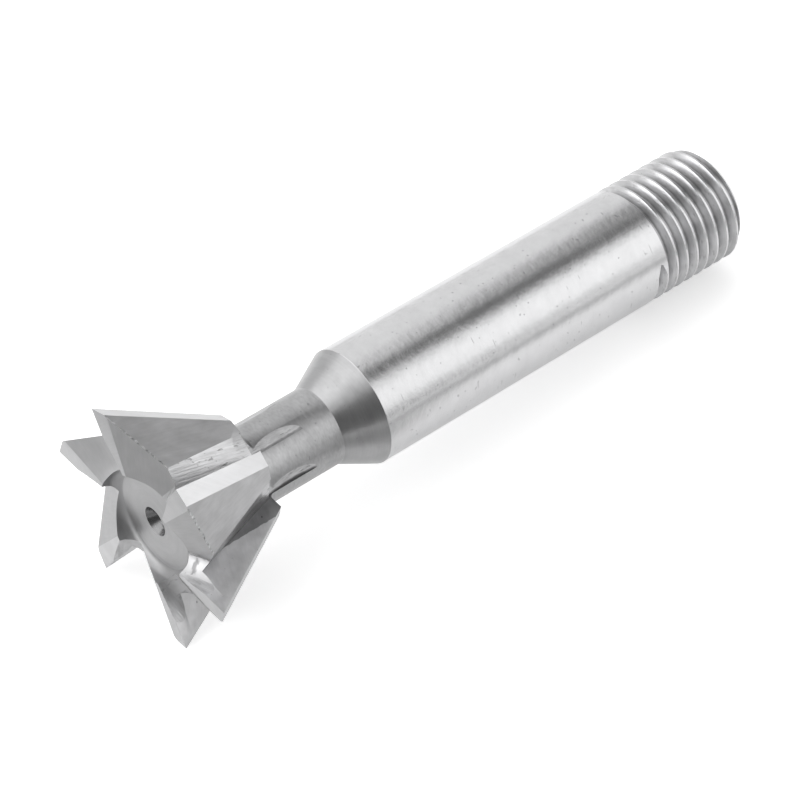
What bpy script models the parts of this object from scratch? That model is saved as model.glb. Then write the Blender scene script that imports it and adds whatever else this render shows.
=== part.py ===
"""Dovetail milling cutter: a six tooth, 60 degree head on a neck and a threaded round shank.

The cutter is one ground piece of high speed steel, so it is one solid. It is modelled upright on Z, with
the tooth tips at the bottom in the plane z = 0 and the shank going up, and is laid down at the end the way
it comes to rest: on the tips of two neighbouring teeth and on the end of its shank.
"""

import math

import bmesh
import bpy
from mathutils import Matrix, Vector

MM = 0.001

# Head, measured from the plane of the tooth tips
HEAD_DIAMETER = 25.0
FLANK_ANGLE = 30.0
TOOTH_COUNT = 6
BACK_RADIUS = 5.774
BACK_FILLET = 0.5
FIRST_TOOTH_ANGLE = -30.0
GRINDING_STOCK = 0.1

# Front recess between the inner ends of the teeth
END_EDGE_LENGTH = 6.6
RECESS_DEPTH = 1.72
RECESS_CORNER = 1.05
RECESS_DRAFT = 0.12
FRONT_CENTRE_MOUTH_RADIUS = 1.5
FRONT_CENTRE_PILOT_RADIUS = 0.8
FRONT_CENTRE_PILOT_DEPTH = 3.2
DRILL_POINT_HALF_ANGLE = 59.0

# Neck, shoulder and shank
NECK_DIAMETER = 8.0
NECK_END = 20.5
SHOULDER_END = 24.44
SHANK_DIAMETER = 12.0
OVERALL_LENGTH = 70.0
END_CHAMFER = 1.05
CENTRE_MOUTH_RADIUS = 2.1
CENTRE_PILOT_RADIUS = 1.0
CENTRE_PILOT_DEPTH = 4.2
CENTRE_HALF_ANGLE = 30.0

# Thread at the end of the shank
THREAD_PITCH = 1.333
THREAD_CREST = 0.28
THREAD_ROOT = 0.16
THREAD_FLANK_ANGLE = 30.0
THREAD_LENGTH = 11.4
THREAD_START_ANGLE = 70.0
THREAD_TURNS = 9
THREAD_TOOL_OVERRUN = 0.2

# Side land: the narrow ground face behind each slanting cutting edge
SIDE_RELIEF_ANGLE = 12.5

# Back face of each tooth, behind the side land, as a plane: it turns and leans by these angles
BACK_FACE_TURN = 46.3
BACK_FACE_LEAN = 22.3
BACK_FACE_DEPTH = 3.603

# Gullet at the root of the cutting face, given by the depth of its two bottom edges below the tip circle
GULLET_WIDTH = 2.5
GULLET_ROOT_DEPTH = 4.635
GULLET_ROOT_FALL = 0.32
GULLET_EDGE_DEPTH = 3.25
GULLET_EDGE_FALL = 0.418
GULLET_BACK_CLEARANCE = 0.15
GULLET_OVERCUT = 0.05

# Run out of the gullet in the neck, left by the round tool that cut it
RUNOUT_TOOL_RADIUS = 20.0
RUNOUT_DEPTH = 0.2
RUNOUT_BEHIND_HEAD = 2.75
RUNOUT_OVERLAP = 0.25
RUNOUT_SIDE_CLEARANCE = 0.03

# End faces: a land along each end cutting edge, then a steeper face down to the next tooth
END_RELIEF_ANGLE = 5.0
END_FACE_SLOPE = 22.9
END_FACE_SLANT = 2.4
END_FACE_DEPTH = 0.187
END_FACE_STOP = 0.95

# Gash: the round trough that gives the inner half of each end cutting edge its face
GASH_RADIUS = 2.07
GASH_DISTANCE = 5.5
GASH_AHEAD = 1.5
GASH_DIRECTION = (1.0, -0.208, 0.25)
GASH_HALF_LENGTH = 3.6
GASH_CLEARANCE = 0.02

# Facets
ROUND_STEPS = 60
TOOL_STEPS = 72
RUNOUT_STEPS = 160
CORNER_STEPS = 4
GULLET_SECTIONS = 7
WELD_DISTANCE = 0.002
SHARP_ANGLE = 24.0
TOOL_REACH = 30.0
TOOL_OVERRUN = 0.35
LAND_TOOL_START = -0.8
LAND_TOOL_END = 3.0
BACK_TOOL_STOP = 1.2

HEAD_RADIUS = HEAD_DIAMETER / 2
NECK_RADIUS = NECK_DIAMETER / 2
SHANK_RADIUS = SHANK_DIAMETER / 2
FLANK_FALL = math.tan(math.radians(FLANK_ANGLE))
HEAD_BACK = (HEAD_RADIUS - BACK_RADIUS) / FLANK_FALL
RECESS_RADIUS = HEAD_RADIUS - END_EDGE_LENGTH
GULLET_END = HEAD_BACK - GULLET_BACK_CLEARANCE
THREAD_START = OVERALL_LENGTH - THREAD_LENGTH


def clear_scene():
    """Remove every object that the file opens with."""
    for old in list(bpy.data.objects):
        bpy.data.objects.remove(old, do_unlink=True)


def new_collection(name):
    """Make a collection under the scene."""
    collection = bpy.data.collections.new(name)
    bpy.context.scene.collection.children.link(collection)
    return collection


def new_object(name, bm, collection):
    """Turn a bmesh in millimetres into an object in metres."""
    bmesh.ops.recalc_face_normals(bm, faces=bm.faces[:])
    bmesh.ops.scale(bm, vec=(MM, MM, MM), verts=bm.verts[:])
    mesh = bpy.data.meshes.new(name)
    bm.to_mesh(mesh)
    bm.free()
    made = bpy.data.objects.new(name, mesh)
    collection.objects.link(made)
    return made


def steel(name):
    """Ground high speed steel."""
    material = bpy.data.materials.new(name)
    material.use_nodes = True
    shader = material.node_tree.nodes["Principled BSDF"]
    shader.inputs["Base Color"].default_value = (0.62, 0.62, 0.63, 1.0)
    shader.inputs["Metallic"].default_value = 1.0
    shader.inputs["Roughness"].default_value = 0.3
    return material


def arc(centre, radius, start, end, steps):
    """Points on an arc in the (radius, height) plane, both ends included, angles in degrees."""
    points = []
    for step in range(steps + 1):
        angle = math.radians(start + (end - start) * step / steps)
        points.append((centre[0] + radius * math.cos(angle), centre[1] + radius * math.sin(angle)))
    return points


def blank_profile():
    """Half section of the turned blank, from the shank's centre hole down the outside to the front one."""
    mouth_depth = (CENTRE_MOUTH_RADIUS - CENTRE_PILOT_RADIUS) / math.tan(math.radians(CENTRE_HALF_ANGLE))
    pilot_point = CENTRE_PILOT_RADIUS / math.tan(math.radians(DRILL_POINT_HALF_ANGLE))
    pilot_end = OVERALL_LENGTH - CENTRE_PILOT_DEPTH
    shank_end = [
        (0.0, pilot_end - pilot_point),
        (CENTRE_PILOT_RADIUS, pilot_end),
        (CENTRE_PILOT_RADIUS, OVERALL_LENGTH - mouth_depth),
        (CENTRE_MOUTH_RADIUS, OVERALL_LENGTH),
        (SHANK_RADIUS - END_CHAMFER, OVERALL_LENGTH),
        (SHANK_RADIUS, OVERALL_LENGTH - END_CHAMFER),
    ]
    shoulder = [(SHANK_RADIUS, SHOULDER_END), (NECK_RADIUS, NECK_END)]
    fillet_centre = (NECK_RADIUS + BACK_FILLET, HEAD_BACK + BACK_FILLET)
    head = arc(fillet_centre, BACK_FILLET, 180.0, 270.0, CORNER_STEPS)
    head.append((BACK_RADIUS + GRINDING_STOCK, HEAD_BACK))
    head.append((HEAD_RADIUS + GRINDING_STOCK * (1 + FLANK_FALL), -GRINDING_STOCK))
    corner_centre = (RECESS_RADIUS - RECESS_DRAFT - RECESS_CORNER, RECESS_DEPTH - RECESS_CORNER)
    recess = [(RECESS_RADIUS, -GRINDING_STOCK)]
    recess += arc(corner_centre, RECESS_CORNER, 0.0, 90.0, CORNER_STEPS)
    front_step = FRONT_CENTRE_MOUTH_RADIUS - FRONT_CENTRE_PILOT_RADIUS
    cone_depth = front_step / math.tan(math.radians(CENTRE_HALF_ANGLE))
    front_point = FRONT_CENTRE_PILOT_RADIUS / math.tan(math.radians(DRILL_POINT_HALF_ANGLE))
    front_end = RECESS_DEPTH + FRONT_CENTRE_PILOT_DEPTH
    front_centre = [
        (FRONT_CENTRE_MOUTH_RADIUS, RECESS_DEPTH),
        (FRONT_CENTRE_PILOT_RADIUS, RECESS_DEPTH + cone_depth),
        (FRONT_CENTRE_PILOT_RADIUS, front_end),
        (0.0, front_end + front_point),
    ]
    return shank_end + shoulder + head + recess + front_centre


def turned_blank(collection):
    """The lathe work: one profile at +X turned about Z."""
    bm = bmesh.new()
    rim = [bm.verts.new((radius, 0.0, height)) for radius, height in blank_profile()]
    for upper, lower in zip(rim, rim[1:]):
        bm.edges.new((upper, lower))
    blank = new_object("dovetail_cutter", bm, collection)
    turn = blank.modifiers.new("turn", "SCREW")
    turn.axis = "Z"
    turn.angle = math.radians(360.0)
    turn.steps = ROUND_STEPS
    turn.render_steps = ROUND_STEPS
    turn.use_merge_vertices = True
    turn.merge_threshold = 0.000001
    return blank


def thread_cutter(collection):
    """One closed V section swept along the helix of the thread, with its two ends capped."""
    half_crest_gap = (THREAD_PITCH - THREAD_CREST) / 2
    half_root = THREAD_ROOT / 2
    slope = math.tan(math.radians(THREAD_FLANK_ANGLE))
    depth = (half_crest_gap - half_root) / slope
    half_mouth = half_crest_gap + THREAD_TOOL_OVERRUN * slope
    section = [
        (SHANK_RADIUS + THREAD_TOOL_OVERRUN, THREAD_START + half_mouth),
        (SHANK_RADIUS - depth, THREAD_START + half_root),
        (SHANK_RADIUS - depth, THREAD_START - half_root),
        (SHANK_RADIUS + THREAD_TOOL_OVERRUN, THREAD_START - half_mouth),
    ]
    bm = bmesh.new()
    corners = [bm.verts.new((radius, 0.0, height)) for radius, height in section]
    face = bm.faces.new(corners)
    steps = ROUND_STEPS * THREAD_TURNS
    bmesh.ops.spin(
        bm,
        geom=[face] + list(face.edges) + list(face.verts),
        cent=(0.0, 0.0, 0.0),
        axis=(0.0, 0.0, 1.0),
        dvec=(0.0, 0.0, THREAD_PITCH / ROUND_STEPS),
        angle=math.radians(360.0 * THREAD_TURNS),
        steps=steps,
        use_duplicate=False,
    )
    turn = Matrix.Rotation(math.radians(THREAD_START_ANGLE), 4, "Z")
    bmesh.ops.transform(bm, matrix=turn, verts=bm.verts[:])
    return new_object("thread_cutter", bm, collection)


def trimmed_block(size, centre, cuts):
    """A block with flat cuts; each cut is a point and the direction of the side that goes."""
    bm = bmesh.new()
    bmesh.ops.create_cube(bm, size=1.0)
    bmesh.ops.scale(bm, vec=size, verts=bm.verts[:])
    bmesh.ops.translate(bm, vec=centre, verts=bm.verts[:])
    for point, direction in cuts:
        trim(bm, point, direction)
    return bm


def trim(bm, point, direction):
    """Cut a closed bmesh with a plane and close it again."""
    result = bmesh.ops.bisect_plane(
        bm,
        geom=bm.verts[:] + bm.edges[:] + bm.faces[:],
        dist=1e-7,
        plane_co=point,
        plane_no=direction,
        clear_outer=True,
    )
    rim = [part for part in result["geom_cut"] if isinstance(part, bmesh.types.BMEdge)]
    if rim:
        bmesh.ops.contextual_create(bm, geom=rim)


def around(angle):
    """Turn about the cutter's axis, in degrees."""
    return Matrix.Rotation(math.radians(angle), 4, "Z")


def before_next_face(distance):
    """A cut that keeps a tool this far in front of the next tooth's cutting face."""
    direction = around(360.0 / TOOTH_COUNT) @ Vector((0.0, 1.0, 0.0))
    return -distance * direction, direction


def back_face_tool():
    """Removes what stands outside the back face, up to the next tooth's cutting face."""
    turn = math.radians(BACK_FACE_TURN)
    lean = math.radians(BACK_FACE_LEAN)
    outward = Vector((math.cos(turn) * math.cos(lean), math.sin(turn) * math.cos(lean), math.sin(lean)))
    offset = HEAD_RADIUS - BACK_FACE_DEPTH
    cuts = [(outward * offset, -outward), before_next_face(BACK_TOOL_STOP)]
    top = HEAD_BACK + TOOL_OVERRUN
    height = top + TOOL_REACH
    size = (2 * TOOL_REACH, 2 * TOOL_REACH, height)
    return trimmed_block(size, (0.0, 0.0, top - height / 2), cuts)


def side_land_tool():
    """Removes what stands outside the side land, behind the slanting cutting edge only."""
    relief = math.tan(math.radians(SIDE_RELIEF_ANGLE))
    outward = Vector((1.0, relief, FLANK_FALL)).normalized()
    top = HEAD_BACK + TOOL_OVERRUN
    height = top + TOOL_REACH
    size = (TOOL_REACH, LAND_TOOL_END - LAND_TOOL_START, height)
    centre = (TOOL_REACH / 2, (LAND_TOOL_START + LAND_TOOL_END) / 2, top - height / 2)
    return trimmed_block(size, centre, [(Vector((HEAD_RADIUS, 0.0, 0.0)), -outward)])


def end_land_tool():
    """Removes what stands in front of the end land, behind the end cutting edge only."""
    relief = math.tan(math.radians(END_RELIEF_ANGLE))
    forward = Vector((0.0, relief, -1.0)).normalized()
    size = (TOOL_REACH, LAND_TOOL_END - LAND_TOOL_START, TOOL_REACH)
    centre = (TOOL_REACH / 2, (LAND_TOOL_START + LAND_TOOL_END) / 2, 0.0)
    return trimmed_block(size, centre, [(Vector((0.0, 0.0, 0.0)), -forward)])


def end_face_direction():
    """Forward direction of the steeper end face behind the end land."""
    slope = math.tan(math.radians(END_FACE_SLOPE))
    slant = math.tan(math.radians(END_FACE_SLANT))
    return Vector((-slant, slope, -1.0)).normalized()


def end_face_tool():
    """Removes what stands in front of the steeper end face, up to the next tooth's gash."""
    forward = end_face_direction()
    cuts = [(Vector((0.0, 0.0, -END_FACE_DEPTH)), -forward), before_next_face(END_FACE_STOP)]
    size = (2 * TOOL_REACH, 2 * TOOL_REACH, 2 * TOOL_REACH)
    return trimmed_block(size, (0.0, 0.0, 0.0), cuts)


def gullet_tool():
    """Wedge in front of the cutting face; its bottom closes in on the axis and turns a little on the way."""
    bm = bmesh.new()
    last = None
    for section in range(GULLET_SECTIONS):
        height = -TOOL_OVERRUN + (GULLET_END + TOOL_OVERRUN) * section / (GULLET_SECTIONS - 1)
        root = HEAD_RADIUS - GULLET_ROOT_DEPTH - GULLET_ROOT_FALL * height
        edge = HEAD_RADIUS - GULLET_EDGE_DEPTH - GULLET_EDGE_FALL * height
        past = edge + GULLET_OVERCUT * (edge - root)
        side = -GULLET_WIDTH * (1 + GULLET_OVERCUT)
        corners = [
            bm.verts.new((root, 0.0, height)),
            bm.verts.new((TOOL_REACH, 0.0, height)),
            bm.verts.new((TOOL_REACH, side, height)),
            bm.verts.new((past, side, height)),
        ]
        ring = [bm.edges.new((corners[index - 1], corners[index])) for index in range(4)]
        if last:
            bmesh.ops.bridge_loops(bm, edges=last + ring)
        if section in (0, GULLET_SECTIONS - 1):
            bmesh.ops.contextual_create(bm, geom=ring)
        last = ring
    return bm


def runout_tool():
    """The round tool at the end of its stroke, with its flat side on the cutting face."""
    bm = bmesh.new()
    bmesh.ops.create_cone(
        bm,
        cap_ends=True,
        segments=RUNOUT_STEPS,
        radius1=RUNOUT_TOOL_RADIUS,
        radius2=RUNOUT_TOOL_RADIUS,
        depth=GULLET_WIDTH,
        matrix=Matrix.Rotation(math.radians(90.0), 4, "X"),
    )
    side = -GULLET_WIDTH / 2 - RUNOUT_SIDE_CLEARANCE
    place = (NECK_RADIUS - RUNOUT_DEPTH + RUNOUT_TOOL_RADIUS, side, HEAD_BACK + RUNOUT_BEHIND_HEAD)
    bmesh.ops.translate(bm, vec=place, verts=bm.verts[:])
    trim(bm, Vector((0.0, 0.0, HEAD_BACK - RUNOUT_OVERLAP)), Vector((0.0, 0.0, -1.0)))
    return bm


def gash_tool():
    """Round trough along the inner half of the end cutting edge, kept clear of the end face before it."""
    along = Vector(GASH_DIRECTION).normalized()
    bm = bmesh.new()
    bmesh.ops.create_cone(
        bm,
        cap_ends=True,
        segments=TOOL_STEPS,
        radius1=GASH_RADIUS,
        radius2=GASH_RADIUS,
        depth=2 * GASH_HALF_LENGTH,
        matrix=along.to_track_quat("Z", "Y").to_matrix().to_4x4(),
    )
    centre = (HEAD_RADIUS - GASH_DISTANCE, -GASH_AHEAD, 0.0)
    bmesh.ops.translate(bm, vec=centre, verts=bm.verts[:])
    back_to_last = around(-360.0 / TOOTH_COUNT)
    forward = back_to_last @ end_face_direction()
    trim(bm, Vector((0.0, 0.0, -END_FACE_DEPTH - GASH_CLEARANCE)), -forward)
    return bm


def cut(body, cutter):
    """Subtract a cutter from the body with an exact boolean."""
    cutter.hide_render = True
    cutter.display_type = "WIRE"
    step = body.modifiers.new(cutter.name, "BOOLEAN")
    step.operation = "DIFFERENCE"
    step.solver = "EXACT"
    step.object = cutter


def cut_teeth(body, cutters):
    """Cut every tooth with the same set of tools, turned from tooth to tooth."""
    tools = {
        "back_face": back_face_tool,
        "gullet": gullet_tool,
        "runout": runout_tool,
        "side_land": side_land_tool,
        "end_land": end_land_tool,
        "end_face": end_face_tool,
        "gash": gash_tool,
    }
    for tooth in range(TOOTH_COUNT):
        place = around(FIRST_TOOTH_ANGLE + tooth * 360.0 / TOOTH_COUNT)
        for name, make in tools.items():
            bm = make()
            bmesh.ops.transform(bm, matrix=place, verts=bm.verts[:])
            cut(body, new_object(f"{name}_{tooth + 1}", bm, cutters))


def resting_turn():
    """Orientation at rest: two tips and the shank's end on the floor, the shank along +X."""
    half_pitch = math.radians(180.0 / TOOTH_COUNT)
    head_height = HEAD_RADIUS * math.cos(half_pitch)
    contact_length = OVERALL_LENGTH - END_CHAMFER
    tilt = math.atan2(head_height - SHANK_RADIUS, contact_length)
    up = Vector((math.sin(tilt), 0.0, math.cos(tilt)))
    along = Vector((math.cos(tilt), 0.0, -math.sin(tilt)))
    side = along.cross(up)
    return Matrix((up, side, along)).transposed().to_4x4()


def finish(body):
    """Apply the cuts, lay the cutter down and centre it over the origin."""
    graph = bpy.context.evaluated_depsgraph_get()
    mesh = bpy.data.meshes.new_from_object(body.evaluated_get(graph))
    body.modifiers.clear()
    body.data = mesh
    mesh.transform(resting_turn())
    low = [min(vertex.co[axis] for vertex in mesh.vertices) for axis in range(3)]
    high = [max(vertex.co[axis] for vertex in mesh.vertices) for axis in range(3)]
    middle = (-(low[0] + high[0]) / 2, -(low[1] + high[1]) / 2, -low[2])
    mesh.transform(Matrix.Translation(middle))
    bm = bmesh.new()
    bm.from_mesh(mesh)
    bmesh.ops.remove_doubles(bm, verts=bm.verts[:], dist=WELD_DISTANCE * MM)
    bmesh.ops.dissolve_degenerate(bm, edges=bm.edges[:], dist=WELD_DISTANCE * MM)
    bm.to_mesh(mesh)
    bm.free()
    mesh.shade_smooth()
    mesh.set_sharp_from_angle(angle=math.radians(SHARP_ANGLE))
    mesh.materials.clear()
    mesh.materials.append(steel("ground_steel"))


def main():
    clear_scene()
    parts = new_collection("dovetail_cutter")
    cutters = new_collection("cutters")
    body = turned_blank(parts)
    cut_teeth(body, cutters)
    cut(body, thread_cutter(cutters))
    finish(body)


main()
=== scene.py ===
"""Looks of a dovetail milling cutter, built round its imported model.

The visible cutter is made the way the real one is: a turned blank, the same set of milling and grinding
moves on every tooth, and a thread cut on the end of the shank. Every face keeps the finish of the tool
that made it. Lengths are in millimetres while the cutter is worked on, and in metres once it is laid down.
"""

import logging
import math
from dataclasses import dataclass
from enum import Enum
from typing import Callable

import bmesh
import bpy
from mathutils import Matrix, Vector


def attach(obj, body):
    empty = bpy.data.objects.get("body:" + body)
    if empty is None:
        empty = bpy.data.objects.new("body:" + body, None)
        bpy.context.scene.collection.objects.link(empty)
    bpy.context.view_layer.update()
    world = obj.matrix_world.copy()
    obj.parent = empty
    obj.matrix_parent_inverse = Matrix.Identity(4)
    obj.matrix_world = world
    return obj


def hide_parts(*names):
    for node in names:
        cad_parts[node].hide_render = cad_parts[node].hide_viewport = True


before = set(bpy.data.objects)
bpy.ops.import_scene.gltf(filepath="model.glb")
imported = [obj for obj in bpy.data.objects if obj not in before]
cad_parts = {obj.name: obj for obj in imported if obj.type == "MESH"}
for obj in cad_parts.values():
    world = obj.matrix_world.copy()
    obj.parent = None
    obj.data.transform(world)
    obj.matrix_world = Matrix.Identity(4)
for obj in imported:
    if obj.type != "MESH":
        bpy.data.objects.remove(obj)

log = logging.getLogger("dovetail_cutter")

BMesh = bmesh.types.BMesh
Material = bpy.types.Material
Node = bpy.types.Node
Socket = bpy.types.NodeSocket
Tree = bpy.types.NodeTree

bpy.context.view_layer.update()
MM = 0.001
NODE = "dovetail_cutter"
BODY = "root"

# Tolerances in millimetres: of a plane cut, of a point that lies on a plane, and of points merged at a seam
CUT_TOLERANCE = 1e-6
ON_PLANE = 1e-5
SEAM = 1e-4

# What the piece carries for its materials: the grain, the distance from a marked edge and a flat map
GRAIN = "grain"
EDGE = "edge"
MARKS = "marks"


class Made(Enum):
    """How a face was made; the value is its material's place on the piece."""

    NECK = 0
    SHOULDER = 1
    SHANK = 2
    HUB = 3
    RECESS_WALL = 4
    BORE = 5
    THREAD = 6
    RAKE = 7
    GULLET = 8
    LAND = 9
    BACK = 10
    END = 11
    GASH = 12
    RUNOUT = 13
    SLOT_WALL = 14


# Node helpers


def feed(tree: Tree, node: Node, inputs: dict[str | int, object]) -> None:
    """Give a node's inputs what they read.

    Args:
        tree: The node's tree.
        node: The node.
        inputs: Another node's socket or a plain value for each input, by its name or place.
    """
    for key, value in inputs.items():
        if isinstance(value, Socket):
            tree.links.new(value, node.inputs[key])
        else:
            node.inputs[key].default_value = value


def add(tree: Tree, kind: str, inputs: dict[str | int, object] | None = None, **settings: object) -> Node:
    """Add a node.

    Args:
        tree: The tree that gets it.
        kind: Its type.
        inputs: What its inputs read.
        settings: Its own settings, made first because they decide which inputs it has.

    Returns:
        The node.
    """
    node = tree.nodes.new(kind)
    for name, value in settings.items():
        setattr(node, name, value)
    feed(tree, node, inputs or {})
    return node


def calc(tree: Tree, operation: str, *values: Socket | float, clamp: bool = False) -> Socket:
    """Add a Math node.

    Args:
        tree: The tree that gets it.
        operation: What it does.
        values: The sockets or numbers that it works on.
        clamp: Whether its result stays between 0 and 1.

    Returns:
        Its result.
    """
    inputs = dict(enumerate(values))
    return add(tree, "ShaderNodeMath", inputs, operation=operation, use_clamp=clamp).outputs[0]


def soft_step(tree: Tree, value: Socket, start: float, end: float, before: float = 0.0) -> Socket:
    """Add a soft step between 0 and 1.

    Args:
        tree: The tree that gets it.
        value: What it measures.
        start: Where the step starts.
        end: Where it ends.
        before: The result before the start, 0 or 1; past the end it is the other.

    Returns:
        The result.
    """
    inputs = {"Value": value, "From Min": start, "From Max": end, "To Min": before, "To Max": 1.0 - before}
    return add(tree, "ShaderNodeMapRange", inputs, interpolation_type="SMOOTHSTEP").outputs["Result"]


# Finishes


@dataclass(frozen=True)
class Pattern:
    """A noise on the grain, and the mask of its highest places.

    Attributes:
        scale: Its scale across the marks, per millimetre.
        stretch: How far it is drawn out along them.
        detail: Its detail.
        level: The level above which the mask begins.
        width: How soft the mask's edge is.
    """

    scale: float
    stretch: float = 1.0
    detail: float = 2.0
    level: float = 0.0
    width: float = 0.0

    def noise(self, tree: Tree, place: Socket) -> Socket:
        """Add the noise to a material.

        Args:
            tree: The material's tree.
            place: The grain.

        Returns:
            The noise, from 0 to 1.
        """
        along = self.scale / self.stretch
        squeezed = add(tree, "ShaderNodeMapping", {"Vector": place, "Scale": (along, along, self.scale)})
        inputs = {"Vector": squeezed.outputs["Vector"], "Scale": 1.0, "Detail": self.detail}
        return add(tree, "ShaderNodeTexNoise", inputs).outputs["Fac"]

    def mask(self, tree: Tree, place: Socket) -> Socket:
        """Add the mask of the places where the noise is above its level."""
        return soft_step(tree, self.noise(tree, place), self.level, self.level + self.width)


# What every finish has in some measure
CLOUD = Pattern(0.45, 1.0, 3.0)
WAVE = Pattern(1.3, 1.5, 2.0)
PIT = Pattern(3.4, 1.3, 0.0, level=0.795, width=0.03)
TEAR = Pattern(2.3, 2.5, 3.0, level=0.60, width=0.07)
SCRATCH = Pattern(5.0, 9.0, 0.0, level=0.83, width=0.02)
WANDER = Pattern(1.7, 1.0, 4.0)
CHIPS = Pattern(2.6, 1.0, 2.0)

# How far a noise swings about its middle, 0.5
NOISE_REACH = 0.25

# Fine marks beside the main ones: how much closer they lie, and their share of the depth
FINE_RATIO = 3.1
FINE_SHARE = 0.4

# Depths of the darkest pits and tears in millimetres, and how much a tear roughens the face
PIT_DEPTH = 0.02
TEAR_DEPTH = 0.05
TEAR_ROUGHNESS = 0.15

# How far the shade and the burr wander from a marked edge, in millimetres
SHADE_WANDER = 0.16
BURR_WANDER = 0.3

# The burr: where it starts and ends to fade, its contrast, and the noise level that leaves the tone as it is
BURR_START = 0.12
BURR_END = 0.26
BURR_GAIN = 5.0
BURR_LEVEL = 0.516

# How much bluer than grey the steel is, and the turn that draws highlights out across the marks
BLUE_TINT = 1.012
QUARTER_TURN = 0.25


@dataclass(frozen=True)
class SteelFinish:
    """A machined finish on high speed steel.

    The marks are read from the piece's grain attribute, whose first two values run along the marks and
    whose third runs across them, in millimetres.

    Attributes:
        name: The material's name.
        tone: How light the bare metal is.
        roughness: How blurred its reflections are.
        marks_per_mm: How close the tool's marks lie.
        stretch: How many times longer than wide a mark is.
        depth: Depth of the marks, in millimetres.
        swing: How much the marks change the tone.
        gloss: How much roughness changes from place to place.
        blotch: How much slow clouds change the tone.
        mottle: Height of the slow waves in the face, in millimetres.
        specks: How dark the small pits are.
        tears: How dark the torn places are.
        scratches: How dark the few short scratches are.
        pull: How far the highlights are drawn out across the marks.
        burr: How strong the broken line is along the face's marked edge.
        shade: How dark the face is painted at its marked edge: painted shade at the thread's root, in the
        gullet's corner and along the run-out's side, and a darker inner part of the cutting face.
        shade_from: Where that shade ends, as a distance from the edge, in millimetres.
        shade_fade: How soft its end is, in millimetres.
    """

    name: str
    tone: float
    roughness: float
    marks_per_mm: float = 5.0
    stretch: float = 12.0
    depth: float = 0.004
    swing: float = 0.04
    gloss: float = 0.05
    blotch: float = 0.05
    mottle: float = 0.004
    specks: float = 0.3
    tears: float = 0.0
    scratches: float = 0.0
    pull: float = 0.0
    burr: float = 0.0
    shade: float = 0.0
    shade_from: float = 0.0
    shade_fade: float = 0.1

    def material(self) -> Material:
        """Build the node material.

        Returns:
            The material.
        """
        made = bpy.data.materials.new(self.name)
        made.use_nodes = True
        tree = made.node_tree
        place = add(tree, "ShaderNodeAttribute", attribute_name=GRAIN).outputs["Vector"]
        main = Pattern(self.marks_per_mm, self.stretch)
        fine = Pattern(self.marks_per_mm * FINE_RATIO, self.stretch)
        seen = {
            "marks": main.noise(tree, place),
            "fine": fine.noise(tree, place),
            "cloud": CLOUD.noise(tree, place),
            "wave": WAVE.noise(tree, place),
            "pit": PIT.mask(tree, place),
            "tear": TEAR.mask(tree, place),
            "scratch": SCRATCH.mask(tree, place),
        }
        shader = tree.nodes["Principled BSDF"]
        feed(tree, shader, {
            "Metallic": 1.0,
            "Anisotropic": self.pull,
            "Anisotropic Rotation": QUARTER_TURN,
            "Base Color": self.colour(tree, place, seen),
            "Roughness": self.blur(tree, seen),
            "Normal": self.relief(tree, seen),
        })
        if self.pull:
            tangent = add(tree, "ShaderNodeTangent", direction_type="UV_MAP", uv_map=MARKS)
            feed(tree, shader, {"Tangent": tangent.outputs["Tangent"]})
        return made

    def colour(self, tree: Tree, place: Socket, seen: dict[str, Socket]) -> Socket:
        """Colour of the metal from place to place.

        Args:
            tree: The material's tree.
            place: The grain.
            seen: The noises and masks by name.

        Returns:
            The colour.
        """
        value = 1.0
        for name, swing in (("marks", self.swing), ("cloud", self.blotch), ("wave", self.blotch / 2)):
            gain = swing / NOISE_REACH
            factor = calc(tree, "MULTIPLY_ADD", seen[name], gain, 1.0 - gain / 2)
            value = calc(tree, "MULTIPLY", value, factor)
        for name, dark in (("pit", self.specks), ("tear", self.tears), ("scratch", self.scratches)):
            if dark:
                value = calc(tree, "MULTIPLY", value, calc(tree, "MULTIPLY_ADD", seen[name], -dark, 1.0))
        if self.burr:
            value = calc(tree, "ADD", value, self.burr_line(tree, place))
        # Painted shade near the marked edge; on the cutting face, a darker inner part
        if self.shade:
            away = self.from_edge(tree, place, SHADE_WANDER)
            lit = soft_step(tree, away, self.shade_from, self.shade_from + self.shade_fade)
            factor = calc(tree, "MULTIPLY_ADD", lit, self.shade, 1.0 - self.shade)
            value = calc(tree, "MULTIPLY", value, factor)
        inputs = {0: (self.tone, self.tone, self.tone * BLUE_TINT), "Scale": value}
        return add(tree, "ShaderNodeVectorMath", inputs, operation="SCALE").outputs["Vector"]

    def blur(self, tree: Tree, seen: dict[str, Socket]) -> Socket:
        """Roughness from place to place.

        Args:
            tree: The material's tree.
            seen: The noises and masks by name.

        Returns:
            The roughness.
        """
        uneven = calc(tree, "ADD", seen["fine"], seen["cloud"])
        rough = calc(tree, "MULTIPLY_ADD", uneven, self.gloss, self.roughness - self.gloss)
        if self.tears:
            rough = calc(tree, "MULTIPLY_ADD", seen["tear"], TEAR_ROUGHNESS, rough)
        return rough

    def relief(self, tree: Tree, seen: dict[str, Socket]) -> Socket:
        """The small hills and valleys that the tool leaves.

        Args:
            tree: The material's tree.
            seen: The noises and masks by name.

        Returns:
            The bumped normal.
        """
        height = 0.0
        for name, rise in (("marks", self.depth), ("fine", FINE_SHARE * self.depth), ("wave", self.mottle),
                           ("pit", -PIT_DEPTH * self.specks), ("tear", -TEAR_DEPTH * self.tears)):
            if rise:
                height = calc(tree, "MULTIPLY_ADD", seen[name], rise, height)
        return add(tree, "ShaderNodeBump", {"Distance": MM, "Height": height}).outputs["Normal"]

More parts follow.
